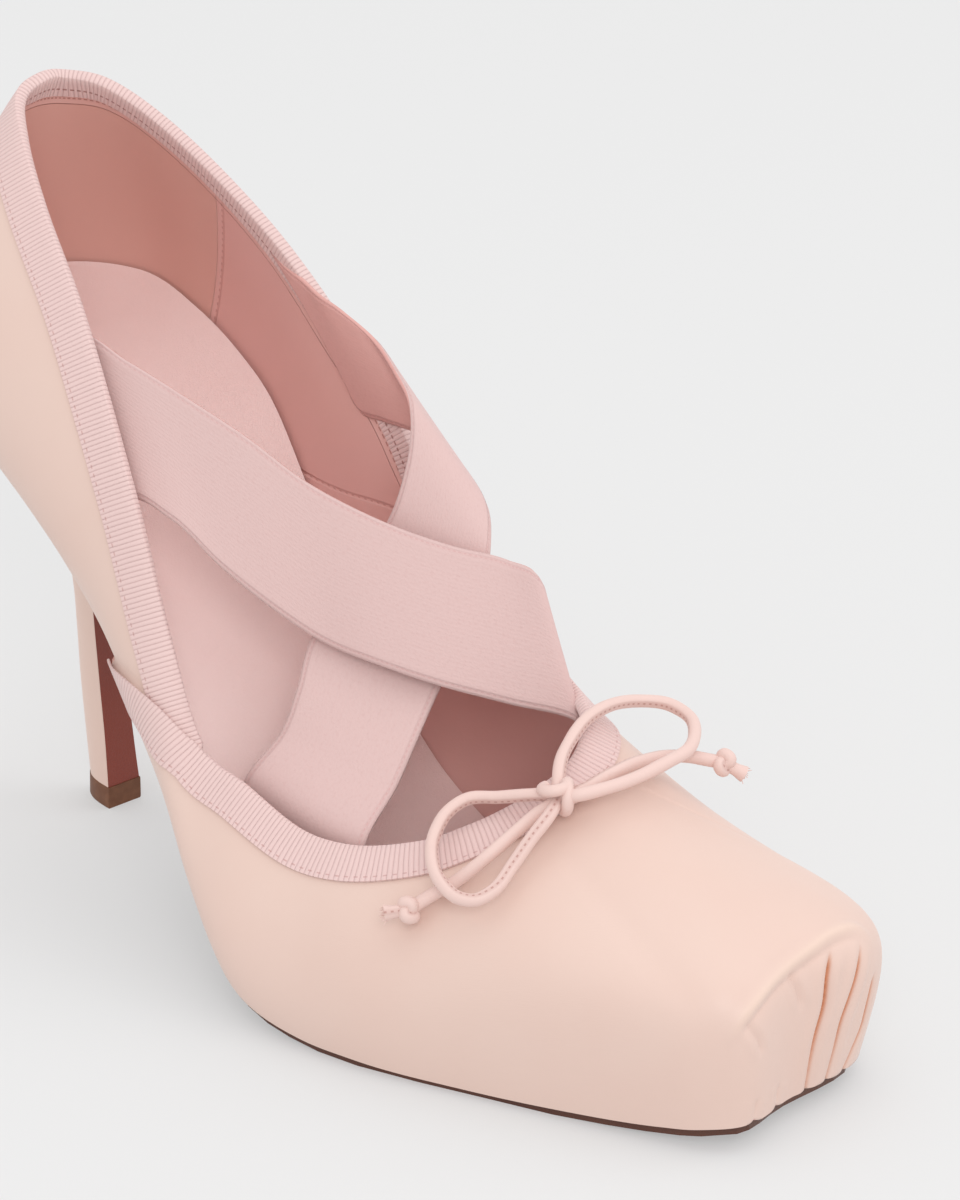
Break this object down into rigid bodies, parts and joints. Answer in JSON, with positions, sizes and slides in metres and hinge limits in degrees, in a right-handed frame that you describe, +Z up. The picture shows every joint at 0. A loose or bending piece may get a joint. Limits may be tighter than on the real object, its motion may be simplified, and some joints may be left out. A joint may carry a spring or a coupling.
{
  "type": "heeled pump",
  "caption": "High-heeled satin pump styled like a ballet slipper, with grosgrain binding, crossed elastic straps, a cord bow and a pleated square toe.",
  "frame": {"origin": "centre of the bounding box without the cord bow, on the floor the shoe stands on", "axes": "+Z up from the floor, +Y from the toe towards the heel, +X towards the wearer's left, which is the inner side of this right shoe"},
  "size_m": [0.0768, 0.2032, 0.1351],
  "materials": {
    "satin": "satin weave with a soft sheen",
    "heel_satin": "satin stretched over the heel",
    "grosgrain": "ribbed ribbon",
    "elastic": "fine ribbed elastic",
    "bow_cord": "stitched satin cord",
    "insole_leather": "smooth, slightly soft",
    "sole_leather": "smooth russet leather",
    "breast_leather": "smooth russet leather",
    "top_piece_rubber": "matt brown"
  },
  "bodies": {
    "root": {"upper": "satin", "outsole": "sole_leather", "insole": "insole_leather", "heel": "heel_satin", "heel_breast_flap": "breast_leather", "heel_top_piece": "top_piece_rubber", "quarter_binding": "grosgrain", "vamp_binding": "grosgrain", "elastic_strap_over": "elastic", "elastic_strap_under": "elastic", "bow_knot": "bow_cord", "bow_loop_near": "bow_cord", "bow_loop_far": "bow_cord", "bow_tail_near": "bow_cord", "bow_tail_far": "bow_cord", "bow_end_knot_near": "bow_cord", "bow_end_knot_far": "bow_cord"}
  },
  "joints": []
}
